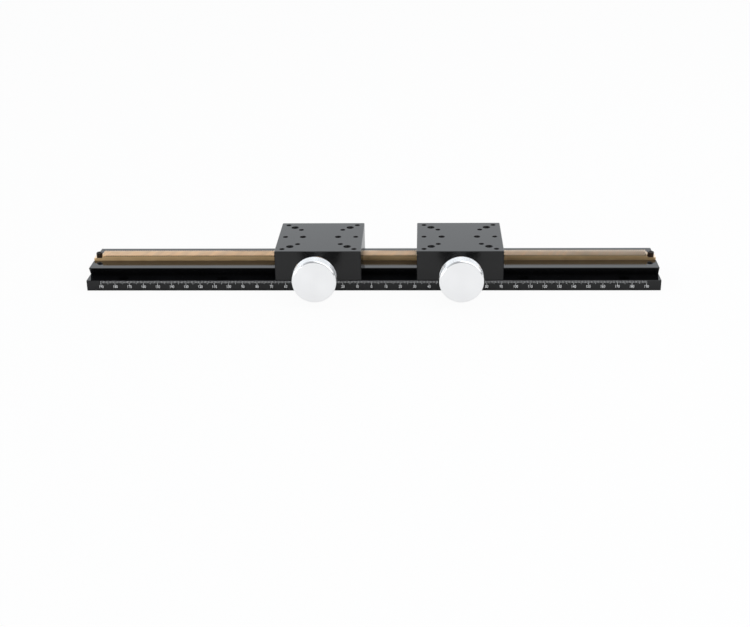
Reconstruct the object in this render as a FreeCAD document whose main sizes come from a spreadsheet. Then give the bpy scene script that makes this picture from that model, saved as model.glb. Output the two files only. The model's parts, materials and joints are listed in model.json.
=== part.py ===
# Manual dovetail slide table: a long rail with a brass rack, and two carriages driven along it by knobs.
# Millimetres, +Z up, +X along the rail, -Y towards the knobs.
# The origin is the centre of the rail's underside, below the zero of its scale.

import FreeCAD, Part
import Sketcher
import enum
import math
import os
import re

# Driving sizes, one cell of the sheet each
SIZES = {
    # Rail
    "rail_length": 400.0,
    "rail_width": 60.0,
    "flange_height": 7.5,
    "dovetail_height": 5.5,
    "dovetail_width": 40.0,
    "dovetail_angle": 60.0,
    "rail_edge_break": 0.3,
    "mount_hole_diameter": 4.5,
    "mount_bore_diameter": 8.0,
    "mount_bore_depth": 4.4,
    "mount_hole_end_margin": 25.0,
    "mount_hole_edge_margin": 5.0,
    "mount_hole_columns": 6,
    "end_hole_diameter": 3.3,
    "end_hole_depth": 6.0,
    "end_hole_end_margin": 5.0,
    "end_hole_rack_margin": 4.6,
    # Rack
    "rack_width": 10.0,
    "rack_stand": 4.0,
    "rack_sink": 2.0,
    "rack_end_inset": 0.3,
    "rack_seat_clearance": 0.02,
    "rack_end_step": 2.0,
    "rack_screw_diameter": 2.5,
    "rack_screw_clearance": 0.2,
    "rack_screw_length": 8.0,
    "rack_screw_hole_room": 0.5,
    "rack_screw_head_diameter": 4.5,
    "rack_screw_head_height": 2.5,
    "rack_screw_head_gap": 0.6,
    "rack_screw_hex": 2.0,
    "rack_screw_hex_depth": 1.3,
    # Teeth
    "normal_module": 0.5,
    "normal_pressure_angle": 20.0,
    "helix_angle": 20.0,
    "pinion_teeth": 12,
    "pinion_shift": 0.1,
    "backlash": 0.1,
    "addendum_factor": 1.0,
    "dedendum_factor": 1.25,
    # Carriages
    "left_carriage_x": -37.0,
    "right_carriage_x": 61.5,
    "carriage_length": 60.0,
    "carriage_height": 21.1,
    "carriage_edge_break": 0.4,
    "ledge_gap": 0.4,
    "slide_clearance": 0.05,
    "rack_channel_side_gap": 1.0,
    "rack_channel_top_gap": 1.4,
    # Table holes, drilled for tapping
    "corner_hole_diameter": 3.3,
    "corner_hole_margin": 5.0,
    "middle_hole_diameter": 5.0,
    "inner_hole_diameter": 3.3,
    "hole_row_step": 5.0,
    "side_hole_diameter": 3.3,
    "centre_hole_diameter": 4.2,
    "small_hole_depth": 8.0,
    "large_hole_depth": 11.0,
    "hole_mouth_chamfer": 0.3,
    # Gibs
    "gib_thickness": 2.5,
    "gib_back_gap": 0.1,
    "gib_end_gap": 0.3,
    "gib_edge_gap": 0.15,
    "gib_screw_end_margin": 10.0,
    "gib_screw_count": 3,
    "gib_screw_diameter": 4.0,
    "gib_screw_point_diameter": 2.5,
    "gib_screw_point_depth": 1.0,
    "gib_screw_inset": 0.5,
    "gib_screw_hex": 2.0,
    "gib_screw_hex_depth": 2.5,
    # Drives
    "fit_clearance": 0.01,
    "bearing_clearance": 0.02,
    "end_play": 0.05,
    "pinion_bore_gap": 0.5,
    "front_bush_diameter": 11.0,
    "front_bush_gap": 7.0,
    "journal_diameter": 8.0,
    "journal_relief": 1.5,
    "thrust_washer_diameter": 10.0,
    "thrust_washer_thickness": 0.5,
    "rear_bush_diameter": 9.0,
    "rear_bush_gap": 5.0,
    "rear_journal_diameter": 5.0,
    "rear_recess_diameter": 12.0,
    "rear_recess_depth": 6.0,
    "rear_washer_diameter": 9.5,
    "rear_washer_thickness": 0.5,
    "ring_diameter": 9.0,
    "ring_thickness": 0.6,
    "ring_groove_diameter": 4.0,
    "ring_span": 300.0,
    "shaft_tail": 2.0,
    # Knobs
    "knob_diameter": 30.0,
    "knob_thickness": 9.5,
    "knob_front_chamfer": 1.2,
    "knob_rear_chamfer": 0.8,
    "knob_web": 2.5,
    "knob_stand": 24.7,
    "neck_diameter": 10.0,
    "neck_root_chamfer": 1.0,
    "neck_end_chamfer": 0.4,
    "stub_diameter": 5.0,
    "stub_end_gap": 0.3,
    "stub_flat_depth": 0.5,
    "stub_flat_length": 5.0,
    "set_screw_diameter": 3.0,
    "set_screw_setback": 6.0,
    "set_screw_hex": 1.5,
    "set_screw_hex_depth": 1.2,
}

# Sizes that follow from the driving ones
DERIVED = {
    "dovetail_top": "flange_height + dovetail_height",
    "dovetail_flank_run": "(dovetail_height - rail_edge_break) / tan(dovetail_angle)",
    "waist": "dovetail_width / 2 - dovetail_flank_run",
    "flank_zero": "waist - flange_height / tan(dovetail_angle)",
    "flat_clearance": "slide_clearance / sin(dovetail_angle)",
    "gib_run": "gib_thickness / sin(dovetail_angle)",
    "gib_gap_run": "gib_back_gap / sin(dovetail_angle)",
    "mount_hole_pitch": "(rail_length - 2 * mount_hole_end_margin) / (mount_hole_columns - 1)",
    "mount_hole_y": "rail_width / 2 - mount_hole_edge_margin",
    "end_hole_x": "rail_length / 2 - end_hole_end_margin",
    "end_hole_y": "rack_width / 2 + end_hole_rack_margin",
    "rack_floor": "dovetail_top - rack_sink",
    "rack_tip": "dovetail_top + rack_stand",
    "rack_length": "rail_length - 2 * rack_end_inset",
    "rack_screw_seat": "rack_tip - rack_end_step",
    "rack_end_step_length": "rack_screw_head_diameter + 2 * rack_screw_head_gap",
    "rack_screw_x": "rack_length / 2 - rack_end_step_length / 2",
    "rack_screw_hole_depth": "rack_screw_length - (rack_screw_seat - rack_floor) + rack_screw_hole_room",
    "transverse_module": "normal_module / cos(helix_angle)",
    "tooth_pitch": "pi * transverse_module",
    "pitch_radius": "pinion_teeth * transverse_module / 2",
    "addendum": "addendum_factor * normal_module",
    "dedendum": "dedendum_factor * normal_module",
    "pitch_line": "rack_tip - addendum",
    "axis_height": "pitch_line + pitch_radius + pinion_shift",
    "pinion_tip_radius": "pitch_radius + pinion_shift + addendum",
    "pinion_root_radius": "pitch_radius + pinion_shift - dedendum",
    "pinion_bore_radius": "pinion_tip_radius + pinion_bore_gap",
    "carriage_width": "rail_width",
    "carriage_bottom": "flange_height + ledge_gap",
    "carriage_top": "carriage_bottom + carriage_height",
    "carriage_front": "-carriage_width / 2",
    "corner_hole_x": "carriage_length / 2 - corner_hole_margin",
    "corner_hole_y": "carriage_width / 2 - corner_hole_margin",
    "channel_top": "dovetail_top + slide_clearance",
    "rack_channel_half_width": "rack_width / 2 + rack_channel_side_gap",
    "rack_channel_top": "rack_tip + rack_channel_top_gap",
    "front_bush_end": "-rack_width / 2 - front_bush_gap",
    "rear_recess_floor": "carriage_width / 2 - rear_recess_depth",
    "rear_bush_start": "rack_width / 2 + rear_bush_gap",
    "ring_start": "rear_recess_floor + rear_washer_thickness + end_play",
    "shaft_end": "ring_start + ring_thickness + shaft_tail",
    "shoulder": "carriage_front - thrust_washer_thickness - end_play",
    "journal_end": "-rack_width / 2 - journal_relief",
    "knob_back": "carriage_front - knob_stand",
    "knob_face": "knob_back - knob_thickness",
    "knob_bore_end": "knob_face + knob_web",
    "set_screw_y": "shoulder - set_screw_setback",
    "stub_flat_height": "stub_diameter / 2 - stub_flat_depth",
    "gib_screw_height": "(carriage_bottom + channel_top) / 2",
    "gib_screw_pitch": "(carriage_length - 2 * gib_screw_end_margin) / (gib_screw_count - 1)",
    "gib_face_at_screw": "flank_zero + gib_screw_height / tan(dovetail_angle) + flat_clearance",
    "gib_back_at_screw": "gib_face_at_screw + gib_run",
    "gib_screw_tip": "gib_back_at_screw - gib_screw_point_depth",
    "gib_screw_rise": "gib_screw_diameter / 2 / tan(dovetail_angle)",
    "gib_screw_shank": "gib_back_at_screw + gib_screw_rise + gib_back_gap",
    "gib_screw_end": "carriage_width / 2 - gib_screw_inset",
}

SIDES = ("left", "right")
SIGNS = ("-", "")
HEX_SIDES = 6
FLANK_POINTS = 6
TWIST_SECTIONS = 7
DRILL_POINT_ANGLE = 118.0
MOUTH_CHAMFER_ANGLE = 90.0
CUT_MARGIN = 5.0
EDGE_TOLERANCE = 0.01


class Mark(enum.IntEnum):
    """How a sketch counts its own axes, and the points of a line or circle."""

    VERTICAL_AXIS = -2
    HORIZONTAL_AXIS = -1
    START = 1
    END = 2
    CENTRE = 3


doc = FreeCAD.newDocument("slide_table")
sheet = doc.addObject("Spreadsheet::Sheet", "sizes")
for row, (alias, number) in enumerate(SIZES.items(), start=1):
    sheet.set("A%d" % row, alias)
    sheet.set("B%d" % row, str(number))
    sheet.setAlias("B%d" % row, alias)
doc.recompute()

nodes = []


# Formulas and sketches
def expression(text):
    """Write a formula of size names as an expression on the sheet's cells."""

    def cell(match):
        name = match.group(0)
        if name in DERIVED:
            return "(" + expression(DERIVED[name]) + ")"
        if name in SIZES:
            return "sizes." + name
        return name

    return re.sub(r"[a-z_]+", cell, text)


def measure(text):
    """Value of a formula of size names, as a plain number."""
    return float(sheet.evalExpression(expression(text)))


def count(name):
    """Whole number in a cell of the sheet."""
    return round(measure(name))


def point(across, up):
    """Sketch point at two formulas."""
    return FreeCAD.Vector(measure(across), measure(up), 0)


def new_body(label, x="0", y="0", z="0"):
    """Add a body whose place follows three formulas."""
    body = doc.addObject("PartDesign::Body", label)
    body.Label = label
    for axis, text in zip("xyz", (x, y, z)):
        body.setExpression("Placement.Base." + axis, expression(text))
    return body


def origin_feature(body, role):
    """Origin plane or axis of a body, by its role."""
    return next(feature for feature in body.Origin.OriginFeatures if feature.Role == role)


def sketch_on(body, role, lift="0"):
    """Add a sketch on an origin plane of the body, lifted along the plane's normal."""
    sketch = body.newObject("Sketcher::SketchObject", "sketch")
    sketch.AttachmentSupport = (origin_feature(body, role), [""])
    sketch.MapMode = "FlatFace"
    sketch.setExpression("AttachmentOffset.Base.z", expression(lift))
    return sketch


def pin(sketch, geometry, vertex, across, up):
    """Hold a sketch point at two formulas, measured from the sketch's origin."""
    distances = (("DistanceX", Mark.VERTICAL_AXIS, across), ("DistanceY", Mark.HORIZONTAL_AXIS, up))
    for kind, axis, text in distances:
        if text == "0":
            sketch.addConstraint(Sketcher.Constraint("PointOnObject", geometry, vertex, axis))
        else:
            index = sketch.addConstraint(Sketcher.Constraint(kind, geometry, vertex, measure(text)))
            sketch.setExpression("Constraints[%d]" % index, expression(text))


def outline(sketch, corners):
    """Draw a closed polygon through corners given as pairs of formulas."""
    places = [point(across, up) for across, up in corners]
    lines = [
        sketch.addGeometry(Part.LineSegment(place, places[(i + 1) % len(places)]))
        for i, place in enumerate(places)
    ]
    for i, line in enumerate(lines):
        following = lines[(i + 1) % len(lines)]
        sketch.addConstraint(Sketcher.Constraint("Coincident", line, Mark.END, following, Mark.START))
    for line, (across, up) in zip(lines, corners):
        pin(sketch, line, Mark.START, across, up)


def circle(sketch, across, up, diameter):
    """Draw a circle at two formulas."""
    shape = Part.Circle(point(across, up), FreeCAD.Vector(0, 0, 1), measure(diameter) / 2)
    geometry = sketch.addGeometry(shape)
    pin(sketch, geometry, Mark.CENTRE, across, up)
    index = sketch.addConstraint(Sketcher.Constraint("Diameter", geometry, measure(diameter)))
    sketch.setExpression("Constraints[%d]" % index, expression(diameter))


def hexagon(sketch, across_flats):
    """Draw a hexagon about the sketch's origin, two of its sides upright."""
    half_side_angle = 180 / HEX_SIDES
    corners = []
    for i in range(HEX_SIDES):
        reach = "%s / 2 / cos(%g)" % (across_flats, half_side_angle)
        turn = (2 * i + 1) * half_side_angle
        corners.append(("%s * cos(%g)" % (reach, turn), "%s * sin(%g)" % (reach, turn)))
    outline(sketch, corners)


# Solid features
def pad(body, sketch, length, side="One side", flipped=False):
    """Pad a sketch to a length."""
    feature = body.newObject("PartDesign::Pad", "pad")
    feature.Profile = sketch
    feature.SideType = side
    feature.Reversed = flipped
    feature.setExpression("Length", expression(length))
    doc.recompute()
    return feature


def revolve(body, sketch, axis="V_Axis", angle="360"):
    """Turn a sketch about one of its axes."""
    feature = body.newObject("PartDesign::Revolution", "revolution")
    feature.Profile = sketch
    feature.ReferenceAxis = (sketch, [axis])
    feature.setExpression("Angle", expression(angle))
    doc.recompute()
    return feature


def pocket(body, sketch, depth, flipped=False):
    """Cut a sketch to a depth against its normal, or along it where flipped."""
    before = body.Shape.Volume
    feature = body.newObject("PartDesign::Pocket", "pocket")
    feature.Profile = sketch
    feature.Reversed = flipped
    feature.setExpression("Length", expression(depth))
    doc.recompute()
    if body.Shape.Volume >= before:
        raise ValueError("a pocket of %s cuts nothing" % body.Label)
    return feature


def plain_hole(body, sketch, diameter):
    """Start a hole without thread on the circles of a sketch."""
    doc.recompute()
    hole = body.newObject("PartDesign::Hole", "hole")
    hole.Profile = sketch
    hole.ThreadType = "None"
    hole.setExpression("Diameter", expression(diameter))
    return hole


def tapping_holes(body, sketch, diameter, depth):
    """Drill the circles of a sketch to a depth, with a drilled point below and a chamfered mouth."""
    hole = plain_hole(body, sketch, diameter)
    hole.DepthType = "Dimension"
    hole.setExpression("Depth", expression(depth))
    hole.DrillPoint = "Angled"
    hole.DrillPointAngle = DRILL_POINT_ANGLE
    hole.HoleCutType = "Countersink"
    hole.setExpression("HoleCutDiameter", expression(diameter + " + 2 * hole_mouth_chamfer"))
    hole.HoleCutCountersinkAngle = MOUTH_CHAMFER_ANGLE
    finish_hole(body, hole)


def counterbored_holes(body, sketch, diameter, bore_diameter, bore_depth):
    """Drill the circles of a sketch right through, with a counterbore for a screw's head."""
    hole = plain_hole(body, sketch, diameter)
    hole.DepthType = "ThroughAll"
    hole.HoleCutType = "Counterbore"
    hole.setExpression("HoleCutDiameter", expression(bore_diameter))
    hole.setExpression("HoleCutDepth", expression(bore_depth))
    finish_hole(body, hole)


def finish_hole(body, hole):
    """Work out a hole and make sure that it cuts."""
    before = body.Shape.Volume
    doc.recompute()
    if body.Shape.Volume >= before:
        raise ValueError("a hole of %s cuts nothing" % body.Label)


def repeat(body, originals, length, times):
    """Repeat features along the body's X axis."""
    pattern = body.newObject("PartDesign::LinearPattern", "pattern")
    pattern.Originals = originals
    pattern.Direction = (origin_feature(body, "X_Axis"), [""])
    pattern.setExpression("Length", expression(length))
    pattern.setExpression("Occurrences", expression(times))
    body.Tip = pattern
    doc.recompute()
    return pattern


def break_edges(body, feature, chosen, size):
    """Chamfer the edges of a feature that a test picks out."""
    names = ["Edge%d" % i for i, edge in enumerate(feature.Shape.Edges, start=1) if chosen(edge)]
    chamfer = body.newObject("PartDesign::Chamfer", "chamfer")
    chamfer.Base = (feature, names)
    chamfer.setExpression("Size", expression(size))
    doc.recompute()
    return chamfer


def node(shape):
    """Count an object as a sub-part of the table."""
    nodes.append(shape)
    return shape


# Rail
def flank(height, away="0"):
    """Distance of the dovetail's flank from the middle plane at a height, plus a run away from it."""
    return "flank_zero + (%s) / tan(dovetail_angle) + %s" % (height, away)


def dovetail_rail():
    """Base plate with two ledges and a raised dovetail, grooved along its top for the rack."""
    body = new_body("dovetail_rail")
    half = [
        ("rail_width / 2", "rail_edge_break"),
        ("rail_width / 2", "flange_height - rail_edge_break"),
        ("rail_width / 2 - rail_edge_break", "flange_height"),
        ("waist", "flange_height"),
        ("dovetail_width / 2", "dovetail_top - rail_edge_break"),
        ("dovetail_width / 2 - rail_edge_break", "dovetail_top"),
        ("rack_width / 2 + rack_seat_clearance", "dovetail_top"),
        ("rack_width / 2 + rack_seat_clearance", "rack_floor"),
    ]
    foot = [("rail_width / 2 - rail_edge_break", "0")]
    mirrored = [("-(%s)" % across, up) for across, up in reversed(foot + half)]
    profile = sketch_on(body, "YZ_Plane")
    outline(profile, foot + half + mirrored)
    pad(body, profile, "rail_length", side="Symmetric")

    mounting = sketch_on(body, "XY_Plane", lift="flange_height")
    for column in range(count("mount_hole_columns")):
        across = "-rail_length / 2 + mount_hole_end_margin + %d * mount_hole_pitch" % column
        for sign in SIGNS:
            circle(mounting, across, sign + "(mount_hole_y)", "mount_hole_diameter")
    counterbored_holes(body, mounting, "mount_hole_diameter", "mount_bore_diameter", "mount_bore_depth")

    screws = sketch_on(body, "XY_Plane", lift="rack_floor")
    ends = sketch_on(body, "XY_Plane", lift="dovetail_top")
    for end in SIGNS:
        circle(screws, end + "(rack_screw_x)", "0", "rack_screw_diameter + 2 * fit_clearance")
        for sign in SIGNS:
            circle(ends, end + "(end_hole_x)", sign + "(end_hole_y)", "end_hole_diameter")
    pocket(body, screws, "rack_screw_hole_depth")
    tapping_holes(body, ends, "end_hole_diameter", "end_hole_depth")
    return node(body)


# Rack and pinion teeth
def transverse_pressure_angle():
    """Pressure angle in the plane across the pinion's axis, in radians."""
    normal = math.radians(measure("normal_pressure_angle"))
    return math.atan(math.tan(normal) / math.cos(math.radians(measure("helix_angle"))))


def rack_profile():
    """Closed side view of the rack bar, its teeth longer at both ends than the finished bar."""
    pitch = measure("tooth_pitch")
    slope = math.tan(transverse_pressure_angle())
    half_tooth = pitch / 4 - measure("backlash") / 4
    half_tip = half_tooth - measure("addendum") * slope
    half_root = half_tooth + measure("dedendum") * slope
    tip = measure("rack_tip")
    root = measure("pitch_line - dedendum")
    skew = measure("rack_width * tan(helix_angle)")
    pairs = math.ceil((measure("rack_length") / 2 + skew) / pitch)
    points = []
    for i in range(-pairs, pairs):
        middle = (i + 0.5) * pitch
        points.append((middle - half_root, root))
        points.append((middle - half_tip, tip))
        points.append((middle + half_tip, tip))
        points.append((middle + half_root, root))
    floor = measure("rack_floor")
    points.append((points[-1][0], floor))
    points.append((points[0][0], floor))
    front = measure("-rack_width / 2")
    shift = -skew / 2
    corners = [FreeCAD.Vector(x + shift, front, z) for x, z in points]
    return Part.makePolygon(corners + corners[:1])


def block(label, length, width, height, x, y, z):
    """Box whose three sizes and lowest corner follow formulas."""
    box = doc.addObject("Part::Box", label)
    for name, text in (("Length", length), ("Width", width), ("Height", height)):
        box.setExpression(name, expression(text))
    for axis, text in zip("xyz", (x, y, z)):
        box.setExpression("Placement.Base." + axis, expression(text))
    return box


def gear_rack():
    """Brass bar with helical teeth on top, stepped down and drilled at both ends."""
    side_view = doc.addObject("Part::Feature", "rack_side_view")
    side_view.Shape = rack_profile()
    bar = doc.addObject("Part::Extrusion", "rack_bar")
    bar.Base = side_view
    bar.DirMode = "Custom"
    bar.Dir = FreeCAD.Vector(0, 1, 0)
    bar.setExpression("Dir.x", expression("tan(helix_angle)"))
    bar.Solid = True
    bar.setExpression("LengthFwd", expression("rack_width / cos(helix_angle)"))
    margin = "%g" % CUT_MARGIN
    trim = block(
        "rack_trim",
        "rack_length", "rack_width + 2 * " + margin, "rack_tip - rack_floor + 2 * " + margin,
        "-rack_length / 2", "-rack_width / 2 - " + margin, "rack_floor - " + margin,
    )
    trimmed = doc.addObject("Part::Common", "rack_trimmed")
    trimmed.Base = bar
    trimmed.Tool = trim
    cutters = []
    for side, sign, reach in (("left", "-", " - " + margin), ("right", "", " - rack_end_step_length")):
        cutters.append(block(
            side + "_rack_step",
            "rack_end_step_length + " + margin, "rack_width + 2 * " + margin, "rack_end_step + " + margin,
            sign + "rack_length / 2" + reach, "-rack_width / 2 - " + margin, "rack_screw_seat",
        ))
        hole = doc.addObject("Part::Cylinder", side + "_rack_hole")
        hole.setExpression("Radius", expression("rack_screw_diameter / 2 + rack_screw_clearance"))
        hole.setExpression("Height", expression("rack_screw_seat - rack_floor + 2 * " + margin))
        hole.setExpression("Placement.Base.x", expression(sign + "(rack_screw_x)"))
        hole.setExpression("Placement.Base.z", expression("rack_floor - " + margin))
        cutters.append(hole)
    waste = doc.addObject("Part::MultiFuse", "rack_waste")
    waste.Shapes = cutters
    rack = doc.addObject("Part::Cut", "gear_rack")
    rack.Base = trimmed
    rack.Tool = waste
    rack.Label = "gear_rack"
    doc.recompute()
    return node(rack)


def rack_end_screws():
    """Socket head cap screws that hold the two ends of the rack."""
    body = new_body("rack_end_screws", x="-(rack_screw_x)", z="rack_screw_seat")
    profile = sketch_on(body, "XZ_Plane")
    outline(profile, [
        ("0", "-rack_screw_length"),
        ("rack_screw_diameter / 2", "-rack_screw_length"),
        ("rack_screw_diameter / 2", "0"),
        ("rack_screw_head_diameter / 2", "0"),
        ("rack_screw_head_diameter / 2", "rack_screw_head_height"),
        ("0", "rack_screw_head_height"),
    ])
    turned = revolve(body, profile)
    socket = sketch_on(body, "XY_Plane", lift="rack_screw_head_height")
    hexagon(socket, "rack_screw_hex")
    recess = pocket(body, socket, "rack_screw_hex_depth")
    repeat(body, [turned, recess], "2 * rack_screw_x", "2")
    return node(body)


# Carriages
def carriage_block(side):
    """Table block with a dovetail channel below, a cross bore for the drive and tapped holes on top."""
    body = new_body(side + "_carriage_block", x=side + "_carriage_x")
    half_width = "carriage_width / 2"
    gib_room = "flat_clearance + gib_run + gib_gap_run"
    profile = sketch_on(body, "YZ_Plane")
    outline(profile, [
        ("-(%s)" % half_width, "carriage_bottom"),
        ("-(%s)" % flank("carriage_bottom", "flat_clearance"), "carriage_bottom"),
        ("-(%s)" % flank("channel_top", "flat_clearance"), "channel_top"),
        ("-(rack_channel_half_width)", "channel_top"),
        ("-(rack_channel_half_width)", "rack_channel_top"),
        ("rack_channel_half_width", "rack_channel_top"),
        ("rack_channel_half_width", "channel_top"),
        (flank("channel_top", gib_room), "channel_top"),
        (flank("carriage_bottom", gib_room), "carriage_bottom"),
        (half_width, "carriage_bottom"),
        (half_width, "carriage_top"),
        ("-(%s)" % half_width, "carriage_top"),
    ])
    slab = pad(body, profile, "carriage_length", side="Symmetric")
    top = measure("carriage_top")
    side_reach = measure(half_width)

    def outer(edge):
        """Edges round the top face and the four upright corners."""
        box = edge.BoundBox
        on_top = box.ZMin > top - EDGE_TOLERANCE
        upright = box.ZLength > box.XLength + box.YLength
        return on_top or (upright and abs(box.YMin) > side_reach - EDGE_TOLERANCE)

    break_edges(body, slab, outer, "carriage_edge_break")
    drive_bore(body)
    gib_screw_holes(body)
    table_holes(body)
    return node(body)


def drive_bore(body):
    """Bore along Y for the two bushes, with room for the pinion between them and a recess at the back."""
    steps = [
        ("carriage_front", "front_bush_diameter / 2 + fit_clearance"),
        ("front_bush_end", "pinion_bore_radius"),
        ("rear_bush_start", "rear_bush_diameter / 2 + fit_clearance"),
        ("rear_recess_floor", "rear_recess_diameter / 2"),
        ("carriage_width / 2", None),
    ]
    profile = sketch_on(body, "XY_Plane", lift="axis_height")
    corners = [("0", steps[0][0])]
    for (start, radius), (end, _) in zip(steps, steps[1:]):
        corners.append((radius, start))
        corners.append((radius, end))
    corners.append(("0", steps[-1][0]))
    outline(profile, corners)
    before = body.Shape.Volume
    groove = body.newObject("PartDesign::Groove", "groove")
    groove.Profile = profile
    groove.ReferenceAxis = (profile, ["V_Axis"])
    groove.Angle = 360
    doc.recompute()
    if body.Shape.Volume >= before:
        raise ValueError("the drive bore of %s cuts nothing" % body.Label)


def gib_screw_holes(body):
    """Row of holes from the back face to the gib."""
    screws = sketch_on(body, "XZ_Plane", lift="-carriage_width / 2")
    for i in range(count("gib_screw_count")):
        across = "(%d - (gib_screw_count - 1) / 2) * gib_screw_pitch" % i
        circle(screws, across, "gib_screw_height", "gib_screw_diameter + 2 * fit_clearance")
    pocket(body, screws, "carriage_width / 2 - (%s)" % flank("carriage_bottom"), flipped=True)


def table_holes(body):
    """Pattern of blind holes in the table's top face: a diagonal row in each corner, and one row across."""
    corner_rows = (
        ("corner_hole_diameter", "0", "small_hole_depth"),
        ("middle_hole_diameter", "hole_row_step", "large_hole_depth"),
        ("inner_hole_diameter", "2 * hole_row_step", "small_hole_depth"),
    )
    for diameter, inwards, depth in corner_rows:
        holes = sketch_on(body, "XY_Plane", lift="carriage_top")
        for x_sign in SIGNS:
            across = "%s(corner_hole_x - %s)" % (x_sign, inwards)
            for y_sign in SIGNS:
                circle(holes, across, "%s(corner_hole_y - %s)" % (y_sign, inwards), diameter)
        tapping_holes(body, holes, diameter, depth)
    cross_row = (("side_hole_diameter", "corner_hole_x"), ("centre_hole_diameter", "corner_hole_x / 2"))
    for diameter, reach in cross_row:
        holes = sketch_on(body, "XY_Plane", lift="carriage_top")
        for sign in SIGNS:
            circle(holes, "%s(%s)" % (sign, reach), "0", diameter)
        tapping_holes(body, holes, diameter, "small_hole_depth")


def gib_strip(side):
    """Slanted strip that takes up the play on the back flank of the dovetail."""
    body = new_body(side + "_gib_strip", x=side + "_carriage_x")
    low = "carriage_bottom + gib_edge_gap"
    high = "channel_top - gib_edge_gap"
    back = "flat_clearance + gib_run"
    profile = sketch_on(body, "YZ_Plane")
    outline(profile, [
        (flank(low, "flat_clearance"), low),
        (flank(low, back), low),
        (flank(high, back), high),
        (flank(high, "flat_clearance"), high),
    ])
    pad(body, profile, "carriage_length - 2 * gib_end_gap", side="Symmetric")
    seats = sketch_on(body, "XZ_Plane", lift="-(gib_screw_tip)")
    for i in range(count("gib_screw_count")):
        across = "(%d - (gib_screw_count - 1) / 2) * gib_screw_pitch" % i
        circle(seats, across, "gib_screw_height", "gib_screw_point_diameter + 2 * bearing_clearance")
    pocket(body, seats, "gib_run")
    return node(body)


def gib_screws(side):
    """Set screws with a plain point that press the gib towards the rail."""
    start = "%s_carriage_x - (gib_screw_count - 1) / 2 * gib_screw_pitch" % side
    body = new_body(side + "_gib_screws", x=start, z="gib_screw_height")
    profile = sketch_on(body, "XY_Plane")
    outline(profile, [
        ("0", "gib_screw_tip"),
        ("gib_screw_point_diameter / 2", "gib_screw_tip"),
        ("gib_screw_point_diameter / 2", "gib_screw_shank"),
        ("gib_screw_diameter / 2", "gib_screw_shank"),
        ("gib_screw_diameter / 2", "gib_screw_end"),
        ("0", "gib_screw_end"),
    ])
    turned = revolve(body, profile)
    socket = sketch_on(body, "XZ_Plane", lift="-(gib_screw_end)")
    hexagon(socket, "gib_screw_hex")
    recess = pocket(body, socket, "gib_screw_hex_depth", flipped=True)
    repeat(body, [turned, recess], "(gib_screw_count - 1) * gib_screw_pitch", "gib_screw_count")
    return node(body)


# Drives
def sleeve(label, side, inner, outer, start, end):
    """Plain ring about the drive axis, from a start to an end along Y."""
    body = new_body(label, x=side + "_carriage_x", z="axis_height")
    profile = sketch_on(body, "XY_Plane")
    outline(profile, [(inner, start), (outer, start), (outer, end), (inner, end)])
    revolve(body, profile)
    return node(body)


def bearings(side):
    """Bushes pressed in the carriage, and the washers that take the end thrust."""
    sleeve(
        side + "_front_bush", side, "journal_diameter / 2 + bearing_clearance", "front_bush_diameter / 2",
        "carriage_front", "front_bush_end",
    )
    sleeve(
        side + "_rear_bush", side, "rear_journal_diameter / 2 + bearing_clearance", "rear_bush_diameter / 2",
        "rear_bush_start", "rear_recess_floor",
    )
    sleeve(
        side + "_thrust_washer", side, "journal_diameter / 2 + bearing_clearance",
        "thrust_washer_diameter / 2", "carriage_front - thrust_washer_thickness", "carriage_front",
    )
    sleeve(
        side + "_rear_washer", side, "rear_journal_diameter / 2 + bearing_clearance",
        "rear_washer_diameter / 2", "rear_recess_floor", "rear_recess_floor + rear_washer_thickness",
    )


def tooth_section(y, turn):
    """Closed wire across the pinion at a place along its axis, one tooth turned from straight down."""
    angle = transverse_pressure_angle()
    pitch_radius = measure("pitch_radius")
    base = pitch_radius * math.cos(angle)
    tip = measure("pinion_tip_radius")
    root = measure("pinion_root_radius")
    thickness = measure("tooth_pitch / 2 - backlash / 2") + 2 * measure("pinion_shift") * math.tan(angle)
    teeth = count("pinion_teeth")

    def half_angle(radius):
        pressure = math.acos(base / radius)
        return thickness / (2 * pitch_radius) + math.tan(angle) - angle - math.tan(pressure) + pressure

    def place(radius, polar):
        return FreeCAD.Vector(radius * math.sin(polar), y, -radius * math.cos(polar))

    start = max(base, root)
    radii = [start + (tip - start) * i / (FLANK_POINTS - 1) for i in range(FLANK_POINTS)]
    edges = []
    for i in range(teeth):
        middle = turn + 2 * math.pi * i / teeth
        following = middle + 2 * math.pi / teeth
        rising = [place(radius, middle - half_angle(radius)) for radius in radii]
        falling = [place(radius, middle + half_angle(radius)) for radius in reversed(radii)]
        foot = place(root, middle - half_angle(start))
        heel = place(root, middle + half_angle(start))
        next_foot = place(root, following - half_angle(start))
        for points in ([foot, rising[0]], rising, [rising[-1], falling[0]], falling, [falling[-1], heel],
                       [heel, next_foot]):
            edges.append(smooth_edge(points))
    return Part.Wire(edges)


def smooth_edge(points):
    """Straight edge between two points, or a smooth one through more."""
    if len(points) == 2:
        return Part.LineSegment(*points).toShape()
    curve = Part.BSplineCurve()
    curve.interpolate(points)
    return curve.toShape()


def pinion_teeth(side):
    """Helical pinion over the rack's width, turned so that it meshes where the carriage stands."""
    width = measure("rack_width")
    pitch_radius = measure("pitch_radius")
    twist = -math.tan(math.radians(measure("helix_angle"))) / pitch_radius
    carriage_x = measure(side + "_carriage_x")
    sections = []
    for i in range(TWIST_SECTIONS):
        y = width * (i / (TWIST_SECTIONS - 1) - 0.5)
        sections.append(tooth_section(y, -twist * y))
    teeth = doc.addObject("Part::Feature", side + "_pinion_teeth")
    teeth.Shape = Part.makeLoft(sections, True, False)
    phase = math.degrees(carriage_x % measure("tooth_pitch") / pitch_radius)
    place = FreeCAD.Vector(carriage_x, 0, measure("axis_height"))
    teeth.Placement = FreeCAD.Placement(place, FreeCAD.Rotation(FreeCAD.Vector(0, 1, 0), phase))
    return teeth


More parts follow.
